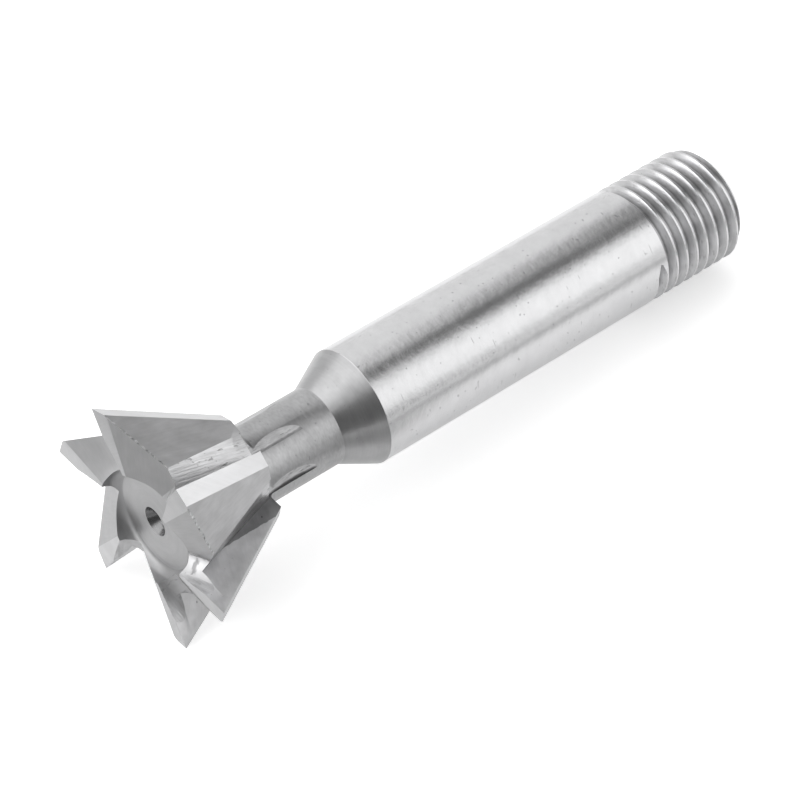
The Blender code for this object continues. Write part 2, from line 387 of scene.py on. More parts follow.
    def from_edge(self, tree: Tree, place: Socket, wander: float) -> Socket:
        """Distance from the face's marked edge, as an uneven hand would see it.

        Args:
            tree: The material's tree.
            place: The grain.
            wander: How far the line wanders, in millimetres.

        Returns:
            The distance, in millimetres.
        """
        edge = add(tree, "ShaderNodeAttribute", attribute_name=EDGE)
        uneven = calc(tree, "MULTIPLY_ADD", WANDER.noise(tree, place), -2.0 * wander, wander)
        return calc(tree, "ADD", edge.outputs["Fac"], uneven)

    def burr_line(self, tree: Tree, place: Socket) -> Socket:
        """Add the broken light and dark line that grinding leaves along an edge.

        Args:
            tree: The material's tree.
            place: The grain.

        Returns:
            What the line adds to the tone.
        """
        near = soft_step(tree, self.from_edge(tree, place, BURR_WANDER), BURR_START, BURR_END, before=1.0)
        gain = BURR_GAIN * self.burr
        chips = calc(tree, "MULTIPLY_ADD", CHIPS.noise(tree, place), gain, -BURR_LEVEL * gain)
        return calc(tree, "MULTIPLY", chips, near)


FINISHES: dict[Made, SteelFinish] = {
    Made.NECK: SteelFinish("steel_turned_neck", 0.375, 0.33, 5.0, 2.6, depth=0.01, swing=0.1, mottle=0.008,
                           blotch=0.09, specks=0.2, pull=0.4),
    Made.SHOULDER: SteelFinish("steel_turned_shoulder", 0.355, 0.3, 5.0, 25.0, depth=0.003, mottle=0.012,
                               blotch=0.09, specks=0.15, pull=0.2),
    Made.SHANK: SteelFinish("steel_ground_shank", 0.60, 0.25, 8.0, 50.0, depth=0.0005, swing=0.008,
                            mottle=0.026, blotch=0.04, specks=0.25, scratches=0.25, pull=0.3),
    Made.HUB: SteelFinish("steel_faced_hub", 0.42, 0.4, 5.0, 30.0, depth=0.002, specks=0.0),
    Made.RECESS_WALL: SteelFinish("steel_recess_wall", 0.32, 0.46, 5.0, 12.0, depth=0.01, specks=0.0),
    # The holes' low tone is painted shade inside them
    Made.BORE: SteelFinish("steel_drilled", 0.2, 0.26, 2.2, 14.0, depth=0.08, swing=0.25, specks=0.0),
    # The thread's shade is painted shade at its root
    Made.THREAD: SteelFinish("steel_threaded", 0.55, 0.3, 6.0, 20.0, depth=0.004, swing=0.06, blotch=0.12,
                             tears=0.12, specks=0.2, shade=0.3, shade_from=0.0, shade_fade=0.3),
    # The cutting face is darker on its inner part
    Made.RAKE: SteelFinish("steel_ground_cutting_face", 0.53, 0.36, 5.0, 10.0, depth=0.003, blotch=0.14,
                           specks=0.5, shade=0.62, shade_from=-0.05, shade_fade=0.1),
    # The gullet's shade is painted shade in its corner by the cutting face
    Made.GULLET: SteelFinish("steel_milled_gullet", 0.58, 0.4, 4.0, 16.0, depth=0.04, swing=0.16, blotch=0.1,
                             tears=0.3, specks=0.2, shade=0.2, shade_from=0.0, shade_fade=0.15),
    Made.LAND: SteelFinish("steel_ground_land", 0.52, 0.3, 6.0, 16.0, depth=0.002, blotch=0.06, specks=0.0),
    Made.BACK: SteelFinish("steel_ground_back", 0.53, 0.48, 4.0, 6.0, depth=0.003, swing=0.05, blotch=0.12,
                           specks=0.0, burr=0.6),
    Made.END: SteelFinish("steel_ground_end", 0.42, 0.38, 5.0, 10.0, depth=0.002, blotch=0.06, specks=0.0),
    Made.GASH: SteelFinish("steel_rough_gash", 0.5, 0.47, 3.2, 9.0, depth=0.05, swing=0.22, blotch=0.12,
                           tears=0.3, specks=0.3),
    # The run-out's shade is a painted shadow along the slot's side by the cutting face's plane
    Made.RUNOUT: SteelFinish("steel_milled_runout", 0.52, 0.42, 3.6, 4.0, depth=0.05, swing=0.16, mottle=0.03,
                             blotch=0.16, tears=0.3, specks=0.3, shade=0.5, shade_from=0.2, shade_fade=0.2),
    # The slot walls' low tone is painted shade
    Made.SLOT_WALL: SteelFinish("steel_slot_wall", 0.2, 0.4, 4.0, 10.0, depth=0.01, specks=0.0),
}


# Mesh helpers


def arc(centre: tuple[float, float], radius: float, start: float, end: float,
        steps: int) -> list[tuple[float, float]]:
    """Points on an arc in the (radius, height) plane, both ends included.

    Args:
        centre: The arc's centre.
        radius: Its radius.
        start: Its first angle, in degrees.
        end: Its last angle, in degrees.
        steps: The number of facets.

    Returns:
        The points.
    """
    points = []
    for step in range(steps + 1):
        angle = math.radians(start + (end - start) * step / steps)
        points.append((centre[0] + radius * math.cos(angle), centre[1] + radius * math.sin(angle)))
    return points


def around(angle: float) -> Matrix:
    """Turn about the cutter's axis by an angle in degrees."""
    return Matrix.Rotation(math.radians(angle), 4, "Z")


def towards(azimuth: float, elevation: float) -> Vector:
    """Direction at an angle round the vertical and an angle over the level, both in degrees."""
    turn, rise = math.radians(azimuth), math.radians(elevation)
    return Vector((math.cos(turn) * math.cos(rise), math.sin(turn) * math.cos(rise), math.sin(rise)))


def trim(bm: BMesh, point: Vector, direction: Vector) -> None:
    """Cut a closed mesh with a plane and close it again.

    Args:
        bm: The mesh.
        point: A point on the plane.
        direction: The side that goes.
    """
    result = bmesh.ops.bisect_plane(bm, geom=bm.verts[:] + bm.edges[:] + bm.faces[:], dist=CUT_TOLERANCE,
                                    plane_co=point, plane_no=direction, clear_outer=True)
    rim = [part for part in result["geom_cut"] if isinstance(part, bmesh.types.BMEdge)]
    if rim:
        bmesh.ops.contextual_create(bm, geom=rim)


def paint(bm: BMesh, made: Made) -> BMesh:
    """Give every face of a mesh one way of making.

    Args:
        bm: The mesh.
        made: How its faces were made.

    Returns:
        The same mesh.
    """
    for face in bm.faces:
        face.material_index = made.value
    return bm


def block(made: Made, size: tuple[float, float, float], centre: tuple[float, float, float],
          cuts: list[tuple[Vector, Vector]]) -> BMesh:
    """A block with flat cuts.

    Args:
        made: The finish that it leaves.
        size: Its sizes.
        centre: Its centre.
        cuts: A point and the direction of the side that goes, for each cut.

    Returns:
        The mesh.
    """
    bm = bmesh.new()
    bmesh.ops.create_cube(bm, size=1.0)
    bmesh.ops.scale(bm, vec=size, verts=bm.verts[:])
    bmesh.ops.translate(bm, vec=centre, verts=bm.verts[:])
    for point, direction in cuts:
        trim(bm, point, direction)
    return paint(bm, made)


def disc(radius: float, depth: float, axis: Matrix, centre: tuple[float, float, float], steps: int) -> BMesh:
    """A closed round tool.

    Args:
        radius: The tool's radius.
        depth: Its thickness.
        axis: The turn that lays the tool's axis.
        centre: Its centre.
        steps: The number of facets.

    Returns:
        The mesh.
    """
    bm = bmesh.new()
    bmesh.ops.create_cone(bm, cap_ends=True, segments=steps, radius1=radius, radius2=radius, depth=depth,
                          matrix=axis)
    bmesh.ops.translate(bm, vec=centre, verts=bm.verts[:])
    return bm


def to_object(name: str, bm: BMesh, materials: list[Material]) -> bpy.types.Object:
    """Turn a mesh under way into an object that carries its finishes.

    Args:
        name: The object's name.
        bm: The mesh, which is freed.
        materials: The finishes, in the order of the mesh's material places.

    Returns:
        The object.
    """
    bmesh.ops.recalc_face_normals(bm, faces=bm.faces[:])
    mesh = bpy.data.meshes.new(name)
    bm.to_mesh(mesh)
    bm.free()
    for material in materials:
        mesh.materials.append(material)
    made = bpy.data.objects.new(name, mesh)
    bpy.context.scene.collection.objects.link(made)
    return made


def straighten(bm: BMesh, reach: float) -> None:
    """Take out the needless points of straight seams, where triangles would fold into slivers.

    Args:
        bm: The welded mesh.
        reach: How far such a point lies from the seam's straight line at most.
    """
    needless = set()
    for point in bm.verts:
        if len(point.link_edges) == 2:
            first, last = (edge.other_vert(point) for edge in point.link_edges)
            along = (last.co - first.co).normalized()
            if not needless & {first, last} and (point.co - first.co).cross(along).length < reach:
                needless.add(point)
    bmesh.ops.dissolve_verts(bm, verts=list(needless))


# Geometry Nodes helpers


def new_tree(name: str, inputs: dict[str, str], output: str) -> tuple[Tree, bpy.types.NodeOutputs]:
    """Start a Geometry Nodes tree.

    Args:
        name: Its name.
        inputs: The kind of each named input.
        output: The name of the mesh that comes out.

    Returns:
        The tree and the sockets that give its inputs.
    """
    tree = bpy.data.node_groups.new(name, "GeometryNodeTree")
    for label, kind in inputs.items():
        tree.interface.new_socket(label, in_out="INPUT", socket_type=f"NodeSocket{kind}")
    tree.interface.new_socket(output, in_out="OUTPUT", socket_type="NodeSocketGeometry")
    return tree, tree.nodes.new("NodeGroupInput").outputs


def cut_away(tree: Tree, work: Socket, tool: Socket) -> Socket:
    """Cut a tool out of the work.

    Args:
        tree: The tree.
        work: What is cut.
        tool: What cuts it.

    Returns:
        What is left.
    """
    meshes = {"Mesh 1": work, "Mesh 2": tool}
    cut = add(tree, "GeometryNodeMeshBoolean", meshes, operation="DIFFERENCE", solver="EXACT")
    return cut.outputs["Mesh"]


def finish_tree(tree: Tree, work: Socket) -> None:
    """End a tree: faces that no tool has touched keep their turned finish.

    Args:
        tree: The tree.
        work: Its last geometry.
    """
    real = add(tree, "GeometryNodeRealizeInstances", {"Geometry": work})
    index = add(tree, "GeometryNodeInputMaterialIndex")
    untouched = add(tree, "FunctionNodeCompare", {"A": index.outputs[0], "B": Made.NECK.value},
                    data_type="INT", operation="EQUAL")
    keep = add(tree, "GeometryNodeSetMaterial", {
        "Geometry": real.outputs["Geometry"],
        "Selection": untouched.outputs["Result"],
        "Material": bpy.data.materials[FINISHES[Made.NECK].name],
    })
    add(tree, "NodeGroupOutput", {0: keep.outputs["Geometry"]})


def run_tree(piece: bpy.types.Object, tree: Tree, values: dict[str, object]) -> None:
    """Apply a Geometry Nodes tree to a piece and keep the result as its mesh.

    Args:
        piece: The piece.
        tree: The tree.
        values: A value for each named input.
    """
    modifier = piece.modifiers.new(tree.name, "NODES")
    modifier.node_group = tree
    sockets = {item.name: item.identifier for item in tree.interface.items_tree if item.in_out == "INPUT"}
    for name, value in values.items():
        modifier[sockets[name]] = value
    piece.update_tag()
    bpy.context.view_layer.update()
    graph = bpy.context.evaluated_depsgraph_get()
    mesh = bpy.data.meshes.new_from_object(piece.evaluated_get(graph))
    piece.modifiers.clear()
    piece.data = mesh


# The blank


@dataclass
class Blank:
    """The lathe work: shank, shoulder, neck, head, front recess and the holes at both ends."""

    head_diameter: float = 25.0
    flank_angle: float = 30.0
    back_radius: float = 5.774
    back_fillet: float = 0.5
    stock: float = 0.1
    end_edge_length: float = 6.6
    recess_depth: float = 1.72
    recess_corner: float = 1.05
    recess_draft: float = 0.12
    front_mouth: float = 1.5
    front_pilot: float = 0.8
    front_depth: float = 3.2
    drill_half_angle: float = 59.0
    neck_diameter: float = 8.0
    neck_end: float = 20.5
    shoulder_end: float = 24.44
    shank_diameter: float = 12.0
    length: float = 70.0
    end_chamfer: float = 1.05
    centre_mouth: float = 2.1
    centre_pilot: float = 1.0
    centre_depth: float = 4.2
    centre_half_angle: float = 30.0
    edge_round: float = 0.025
    slack: float = 0.02
    steps: int = 240
    fillet_steps: int = 6
    recess_steps: int = 8

    @property
    def head_radius(self) -> float:
        """Radius of the circle through the tooth tips."""
        return self.head_diameter / 2

    @property
    def neck_radius(self) -> float:
        """Radius of the neck."""
        return self.neck_diameter / 2

    @property
    def shank_radius(self) -> float:
        """Radius of the shank."""
        return self.shank_diameter / 2

    @property
    def flank_fall(self) -> float:
        """How fast the head narrows towards its back."""
        return math.tan(math.radians(self.flank_angle))

    @property
    def head_back(self) -> float:
        """Height of the head's back face over the tip plane."""
        return (self.head_radius - self.back_radius) / self.flank_fall

    @property
    def recess_radius(self) -> float:
        """Radius of the front recess at its rim."""
        return self.head_radius - self.end_edge_length

    def rounded(self, before: tuple[float, float], corner: tuple[float, float],
                after: tuple[float, float]) -> list[tuple[float, float]]:
        """Replace a corner of the profile with a small curve.

        Args:
            before: The point before the corner.
            corner: The corner.
            after: The point after it.

        Returns:
            Three points of the curve.
        """
        here = Vector(corner)
        first = here + (Vector(before) - here).normalized() * self.edge_round
        last = here + (Vector(after) - here).normalized() * self.edge_round
        middle = (first + last) / 4 + here / 2
        return [tuple(first), tuple(middle), tuple(last)]

    def profile(self) -> list[tuple[float, float]]:
        """Half section, from the shank's centre hole down the outside to the front hole.

        Returns:
            The points as radius and height.
        """
        slope = math.tan(math.radians(self.centre_half_angle))
        drill = 1.0 / math.tan(math.radians(self.drill_half_angle))
        pilot_end = self.length - self.centre_depth
        mouth = (self.centre_mouth, self.length)
        face = (self.shank_radius - self.end_chamfer, self.length)
        chamfer = (self.shank_radius, self.length - self.end_chamfer)
        shoulder = (self.shank_radius, self.shoulder_end)
        waist = (self.neck_radius, self.neck_end)
        foot = (self.neck_radius, self.head_back)
        points = [
            (0.0, pilot_end - self.centre_pilot * drill),
            (self.centre_pilot, pilot_end),
            (self.centre_pilot, self.length - (self.centre_mouth - self.centre_pilot) / slope),
            mouth,
        ]
        outside = (mouth, face, chamfer, shoulder, waist, foot)
        for before, corner, after in zip(outside, outside[1:], outside[2:]):
            points += self.rounded(before, corner, after)
        fillet = (self.neck_radius + self.back_fillet, self.head_back + self.back_fillet)
        points += arc(fillet, self.back_fillet, 180.0, 270.0, self.fillet_steps)
        points += [
            (self.back_radius + self.stock, self.head_back),
            (self.head_radius + self.stock * (1 + self.flank_fall), -self.stock),
            (self.recess_radius, -self.stock),
        ]
        corner = (self.recess_radius - self.recess_draft - self.recess_corner,
                  self.recess_depth - self.recess_corner)
        points += arc(corner, self.recess_corner, 0.0, 90.0, self.recess_steps)
        bottom = self.recess_depth + self.front_depth
        points += [
            (self.front_mouth, self.recess_depth),
            (self.front_pilot, self.recess_depth + (self.front_mouth - self.front_pilot) / slope),
            (self.front_pilot, bottom),
            (0.0, bottom + self.front_pilot * drill),
        ]
        return points

    def surface_at(self, radius: float, height: float) -> Made:
        """Tell how a face of the blank was made from where its middle lies.

        Args:
            radius: Distance from the axis.
            height: Distance from the tip plane.

        Returns:
            The way it was made.
        """
        if radius < (self.front_mouth if height < self.neck_end else self.centre_mouth):
            return Made.BORE
        if height > self.shoulder_end - self.edge_round:
            return Made.SHANK
        if height > self.neck_end + self.edge_round:
            return Made.SHOULDER
        if height < self.recess_depth - self.slack and radius < self.recess_radius + self.slack:
            return Made.RECESS_WALL
        if height < self.recess_depth + self.slack:
            return Made.HUB
        return Made.NECK

    def build(self, materials: list[Material]) -> bpy.types.Object:
        """Turn the profile about the axis.

        Args:
            materials: The finishes, in the order of Made.

        Returns:
            The blank.
        """
        bm = bmesh.new()
        rim = [bm.verts.new((radius, 0.0, height)) for radius, height in self.profile()]
        edges = [bm.edges.new(pair) for pair in zip(rim, rim[1:])]
        bmesh.ops.spin(bm, geom=rim + edges, cent=(0, 0, 0), axis=(0, 0, 1), angle=math.radians(360.0),
                       steps=self.steps, use_merge=True)
        bmesh.ops.remove_doubles(bm, verts=bm.verts[:], dist=SEAM)
        for face in bm.faces:
            middle = face.calc_center_median()
            face.material_index = self.surface_at(middle.xy.length, middle.z).value
        return to_object("cutter_body", bm, materials)


# The teeth


@dataclass
class ToothTools:
    """The tools that cut one tooth, standing on the local +X line; the cutting face is the plane y = 0."""

    blank: Blank
    count: int = 6
    first_angle: float = -30.0
    side_relief: float = 12.5
    back_turn: float = 46.3
    back_lean: float = 22.3
    back_depth: float = 3.603
    gullet_width: float = 2.5
    gullet_root_depth: float = 4.635
    gullet_root_fall: float = 0.32
    gullet_edge_depth: float = 3.25
    gullet_edge_fall: float = 0.418
    gullet_back_clearance: float = 0.15
    gullet_overcut: float = 0.05
    gullet_sections: int = 25
    runout_radius: float = 20.0
    runout_depth: float = 0.2
    runout_behind_head: float = 2.75
    runout_overlap: float = 0.25
    runout_side_clearance: float = 0.03
    runout_steps: int = 480
    slot_wall_share: float = 0.9
    end_relief: float = 5.0
    end_slope: float = 22.9
    end_slant: float = 2.4
    end_depth: float = 0.187
    end_stop: float = 0.95
    gash_radius: float = 2.07
    gash_distance: float = 5.5
    gash_ahead: float = 1.5
    gash_direction: tuple[float, float, float] = (1.0, -0.208, 0.25)
    gash_half_length: float = 3.6
    gash_clearance: float = 0.02
    gash_steps: int = 160
    land_start: float = -0.8
    land_end: float = 3.0
    back_stop: float = 1.2
    # How far out the cutting face stays darker, in millimetres
    rake_dark_end: float = 6.4
    overrun: float = 0.35
    reach: float = 30.0

    @property
    def step(self) -> float:
        """Angle from tooth to tooth, in degrees."""
        return 360.0 / self.count

    @property
    def top(self) -> float:
        """Height up to which the wheels reach, a little past the head's back."""
        return self.blank.head_back + self.overrun

    def before_next_face(self, distance: float) -> tuple[Vector, Vector]:
        """A cut that keeps a tool this far in front of the next tooth's cutting face."""
        direction = around(self.step) @ Vector((0.0, 1.0, 0.0))
        return -distance * direction, direction

    def back_face(self) -> BMesh:
        """Grinding wheel for the back face, up to the next tooth's cutting face.

        Returns:
            The wheel.
        """
        outward = towards(self.back_turn, self.back_lean)
        offset = self.blank.head_radius - self.back_depth
        height = self.top + self.reach
        return block(Made.BACK, (2 * self.reach, 2 * self.reach, height), (0.0, 0.0, self.top - height / 2),
                     [(outward * offset, -outward), self.before_next_face(self.back_stop)])

    def land(self, height: float, middle: float, point: Vector, outward: Vector) -> BMesh:
        """Grinding wheel for a land behind one of the cutting edges.

        Args:
            height: The wheel's height.
            middle: The height of its middle.
            point: A point on the land.
            outward: The land's direction.

        Returns:
            The wheel.
        """
        size = (self.reach, self.land_end - self.land_start, height)
        centre = (self.reach / 2, (self.land_start + self.land_end) / 2, middle)
        return block(Made.LAND, size, centre, [(point, -outward.normalized())])

    def side_land(self) -> BMesh:
        """Grinding wheel for the land behind the slanting cutting edge.

        Returns:
            The wheel.
        """
        outward = Vector((1.0, math.tan(math.radians(self.side_relief)), self.blank.flank_fall))
        height = self.top + self.reach
        return self.land(height, self.top - height / 2, Vector((self.blank.head_radius, 0.0, 0.0)), outward)

    def end_land(self) -> BMesh:
        """Grinding wheel for the land behind the end cutting edge."""
        forward = Vector((0.0, math.tan(math.radians(self.end_relief)), -1.0))
        return self.land(self.reach, 0.0, Vector((0.0, 0.0, 0.0)), forward)

    def end_direction(self) -> Vector:
        """Forward direction of the steeper end face behind the end land."""
        slope, slant = math.tan(math.radians(self.end_slope)), math.tan(math.radians(self.end_slant))
        return Vector((-slant, slope, -1.0)).normalized()

    def end_face(self) -> BMesh:
        """Grinding wheel for the steeper end face, up to the next tooth's gash.

        Returns:
            The wheel.
        """
        face = (Vector((0.0, 0.0, -self.end_depth)), -self.end_direction())
        size = (2 * self.reach,) * 3
        return block(Made.END, size, (0.0, 0.0, 0.0), [face, self.before_next_face(self.end_stop)])

    def gullet(self) -> BMesh:
        """Milling cutter that opens the space before the cutting face; its bottom turns a little.

        Returns:
            The cutter.
        """
        bm = bmesh.new()
        last = None
        end = self.blank.head_back - self.gullet_back_clearance
        side = -self.gullet_width * (1 + self.gullet_overcut)
        for section in range(self.gullet_sections):
            height = -self.overrun + (end + self.overrun) * section / (self.gullet_sections - 1)
            root = self.blank.head_radius - self.gullet_root_depth - self.gullet_root_fall * height
            edge = self.blank.head_radius - self.gullet_edge_depth - self.gullet_edge_fall * height
            past = edge + self.gullet_overcut * (edge - root)
            places = [(root, 0.0), (self.reach, 0.0), (self.reach, side), (past, side)]
            corners = [bm.verts.new((x, y, height)) for x, y in places]
            ring = [bm.edges.new((corners[index - 1], corners[index])) for index in range(4)]
            if last:
                bmesh.ops.bridge_loops(bm, edges=last + ring)
            if section in (0, self.gullet_sections - 1):
                bmesh.ops.contextual_create(bm, geom=ring)
            last = ring
        for face in paint(bm, Made.GULLET).faces:
            if abs(face.calc_center_median().y) < ON_PLANE:
                face.material_index = Made.RAKE.value
        return bm

    def runout(self) -> BMesh:
        """The round milling cutter at the end of its stroke, in the neck.

        Returns:
            The cutter.
        """
        side = -self.gullet_width / 2 - self.runout_side_clearance
        height = self.blank.head_back + self.runout_behind_head
        centre = (self.blank.neck_radius - self.runout_depth + self.runout_radius, side, height)
        across = Matrix.Rotation(math.radians(90.0), 4, "X")
        bm = disc(self.runout_radius, self.gullet_width, across, centre, self.runout_steps)
        trim(bm, Vector((0.0, 0.0, self.blank.head_back - self.runout_overlap)), Vector((0.0, 0.0, -1.0)))
        bm.normal_update()
        # The slot's side walls take the darker finish, which is painted shade
        for face in paint(bm, Made.RUNOUT).faces:
            if abs(face.normal.y) > self.slot_wall_share:
                face.material_index = Made.SLOT_WALL.value
        return bm

    def gash(self) -> BMesh:
        """Round wheel that gives the inner half of the end cutting edge its face.

        Returns:
            The wheel.
        """
        axis = Vector(self.gash_direction).normalized().to_track_quat("Z", "Y").to_matrix().to_4x4()
        centre = (self.blank.head_radius - self.gash_distance, -self.gash_ahead, 0.0)
        bm = disc(self.gash_radius, 2 * self.gash_half_length, axis, centre, self.gash_steps)
        forward = around(-self.step) @ self.end_direction()
        trim(bm, Vector((0.0, 0.0, -self.end_depth - self.gash_clearance)), -forward)
        return paint(bm, Made.GASH)

    def tools(self) -> dict[str, Callable[[], BMesh]]:
        """The tools in the order in which they cut."""
        return {
            "Back Face": self.back_face,
            "Gullet": self.gullet,
            "Runout": self.runout,
            "Side Land": self.side_land,
            "End Land": self.end_land,
            "End Face": self.end_face,
            "Gash": self.gash,
        }

    def tree(self) -> Tree:
        """Geometry Nodes that cut every tooth of the head with the same tools.

        Returns:
            The tree, with an object input for each tool.
        """
        kinds = {"Blank": "Geometry", "Tooth Count": "Int", "First Angle": "Float"}
        tree, given = new_tree("cut_teeth", kinds | dict.fromkeys(self.tools(), "Object"), "Head")
        start = add(tree, "GeometryNodeRepeatInput")
        end = add(tree, "GeometryNodeRepeatOutput")
        start.pair_with_output(end)
        feed(tree, start, {"Iterations": given["Tooth Count"], "Geometry": given["Blank"]})
        step = calc(tree, "DIVIDE", 2 * math.pi, given["Tooth Count"])
        turn = calc(tree, "MULTIPLY_ADD", start.outputs["Iteration"], step, given["First Angle"])
        angles = add(tree, "ShaderNodeCombineXYZ", {"Z": turn}).outputs["Vector"]
        work = start.outputs["Geometry"]
        for name in self.tools():
            tool = add(tree, "GeometryNodeObjectInfo", {"Object": given[name]}).outputs["Geometry"]
            placed = add(tree, "GeometryNodeTransform", {"Geometry": tool, "Rotation": angles})
            work = cut_away(tree, work, placed.outputs["Geometry"])
        feed(tree, end, {"Geometry": work})
        finish_tree(tree, end.outputs["Geometry"])
        return tree

    def cut(self, body: bpy.types.Object, materials: list[Material]) -> None:
        """Cut the teeth into the blank.

        Args:
            body: The blank.
            materials: The finishes, in the order of Made.
        """
        tools = {}
        for name, make in self.tools().items():
            tools[name] = to_object(f"tool_{name.lower().replace(' ', '_')}", make(), materials)
        values = {"Tooth Count": self.count, "First Angle": math.radians(self.first_angle), **tools}
        run_tree(body, self.tree(), values)
        for tool in tools.values():
            bpy.data.objects.remove(tool)


# The thread


@dataclass
class Thread:
    """The right-hand thread at the end of the shank, cut by a V that follows a helix."""

    blank: Blank
    pitch: float = 1.333
    crest: float = 0.2
    root: float = 0.24
    flank_angle: float = 30.0
    length: float = 11.4
    start_angle: float = 70.0
    turns: int = 9
    overrun: float = 0.2
    run_in: float = 14.0
    steps: int = 150

    @property
    def slope(self) -> float:
        """How fast a flank of the V opens."""
        return math.tan(math.radians(self.flank_angle))

    @property
    def depth(self) -> float:
        """Depth of the thread."""
        return (self.pitch - self.crest - self.root) / 2 / self.slope

    def sizes(self) -> dict[str, float | int]:
        """The tree's named sizes.

        Returns:
            A value for each input.
        """
        radius = self.blank.shank_radius
        return {
            "Start Height": self.blank.length - self.length,
            "Start Angle": math.radians(self.start_angle),
            "Pitch": self.pitch,
            "Path Radius": radius,
            "Mouth Radius": radius + self.overrun,
            "Root Radius": radius - self.depth,
            "Half Mouth": (self.pitch - self.crest) / 2 + self.overrun * self.slope,
            "Half Root": self.root / 2,
            "Run In": self.run_in / 360.0,
            "Turns": self.turns,
            "Steps": self.steps,
        }

    def tree(self) -> Tree:
        """Geometry Nodes that sweep the V along its helix and cut it from the shank.

        Returns:
            The tree.
        """
        kinds = {name: "Int" if isinstance(value, int) else "Float" for name, value in self.sizes().items()}
        tree, given = new_tree("cut_thread", {"Shank": "Geometry"} | kinds, "Threaded Shank")
        path = given["Path Radius"]
        helix = add(tree, "GeometryNodeCurveSpiral", {
            "Resolution": given["Steps"],
            "Rotations": given["Turns"],
            "Start Radius": path,
            "End Radius": path,
            "Height": calc(tree, "MULTIPLY", given["Pitch"], given["Turns"]),
            "Reverse": True,
        })
        eased = self.eased(tree, helix.outputs["Curve"], given)
        upright = add(tree, "GeometryNodeSetCurveNormal", {"Curve": eased}, mode="Z_UP")
        mouth = (calc(tree, "SUBTRACT", given["Mouth Radius"], path), given["Half Mouth"])
        root = (calc(tree, "SUBTRACT", given["Root Radius"], path), given["Half Root"])
        section = add(tree, "GeometryNodeCurvePrimitiveQuadrilateral", mode="POINTS")
        places = ((*mouth, 1.0), (*root, 1.0), (*root, -1.0), (*mouth, -1.0))
        for number, (along, half, sign) in enumerate(places, start=1):
            corner = add(tree, "ShaderNodeCombineXYZ", {"X": along, "Y": calc(tree, "MULTIPLY", half, sign)})
            feed(tree, section, {f"Point {number}": corner.outputs["Vector"]})
        swept = add(tree, "GeometryNodeCurveToMesh", {
            "Curve": upright.outputs["Curve"],
            "Profile Curve": section.outputs["Curve"],
            "Fill Caps": True,
        })
        steel = bpy.data.materials[FINISHES[Made.THREAD].name]
        tool = add(tree, "GeometryNodeSetMaterial", {"Geometry": swept.outputs["Mesh"], "Material": steel})
        lift = add(tree, "ShaderNodeCombineXYZ", {"Z": given["Start Height"]})
        turn = add(tree, "ShaderNodeCombineXYZ", {"Z": given["Start Angle"]})
        placed = add(tree, "GeometryNodeTransform", {
            "Geometry": tool.outputs["Geometry"],
            "Translation": lift.outputs["Vector"],
            "Rotation": turn.outputs["Vector"],
        })
        finish_tree(tree, cut_away(tree, given["Shank"], placed.outputs["Geometry"]))
        return tree

    @staticmethod
    def eased(tree: Tree, curve: Socket, given: bpy.types.NodeOutputs) -> Socket:
        """Lead the tool into the shank over the first few degrees of the helix.

        Args:
            tree: The tree.
            curve: The helix.
            given: The tree's inputs.

        Returns:
            The helix with its eased start.
        """
        along = add(tree, "GeometryNodeSplineParameter").outputs["Factor"]
        turned = calc(tree, "MULTIPLY", along, given["Turns"])
        share = calc(tree, "DIVIDE", turned, given["Run In"], clamp=True)
        depth = calc(tree, "SUBTRACT", given["Mouth Radius"], given["Root Radius"])
        lift = calc(tree, "MULTIPLY", depth, calc(tree, "SUBTRACT", 1.0, share))
        place = add(tree, "GeometryNodeInputPosition").outputs["Position"]
        flat = add(tree, "ShaderNodeVectorMath", {0: place, 1: (1.0, 1.0, 0.0)}, operation="MULTIPLY")
        outward = add(tree, "ShaderNodeVectorMath", {0: flat.outputs["Vector"]}, operation="NORMALIZE")
        offset = add(tree, "ShaderNodeVectorMath", {0: outward.outputs["Vector"], "Scale": lift},
                     operation="SCALE")
        moved = add(tree, "GeometryNodeSetPosition", {"Geometry": curve, "Offset": offset.outputs["Vector"]})
        return moved.outputs["Geometry"]

    def cut(self, body: bpy.types.Object) -> None:
        """Cut the thread into the shank of the piece under way."""
        run_tree(body, self.tree(), self.sizes())


# The cutter


# Along and across the marks of every flat finish, as seen from its own tooth; the others have rings
DIRECTIONS: dict[Made, tuple[Vector, Vector]] = {
    Made.RAKE: (Vector((0.9, 0.0, -0.44)), Vector((0.44, 0.0, 0.9))),
    Made.GULLET: (Vector((0.0, 0.0, 1.0)), Vector((0.3, 1.0, 0.0))),
    Made.LAND: (Vector((0.0, 0.9, 0.3)), Vector((0.8, -0.3, 0.8))),
    Made.BACK: (Vector((0.3, 0.3, 0.9)), Vector((-0.6, 0.8, 0.0))),
    Made.END: (Vector((0.9, 0.3, 0.0)), Vector((-0.3, 0.9, 0.0))),
    Made.GASH: (Vector((0.95, -0.2, 0.24)), Vector((0.0, 0.7, 0.7))),
    Made.RUNOUT: (Vector((0.3, 0.0, 1.0)), Vector((0.0, 1.0, 0.0))),
    Made.SLOT_WALL: (Vector((0.0, 0.0, 1.0)), Vector((1.0, 0.0, 0.0))),
}


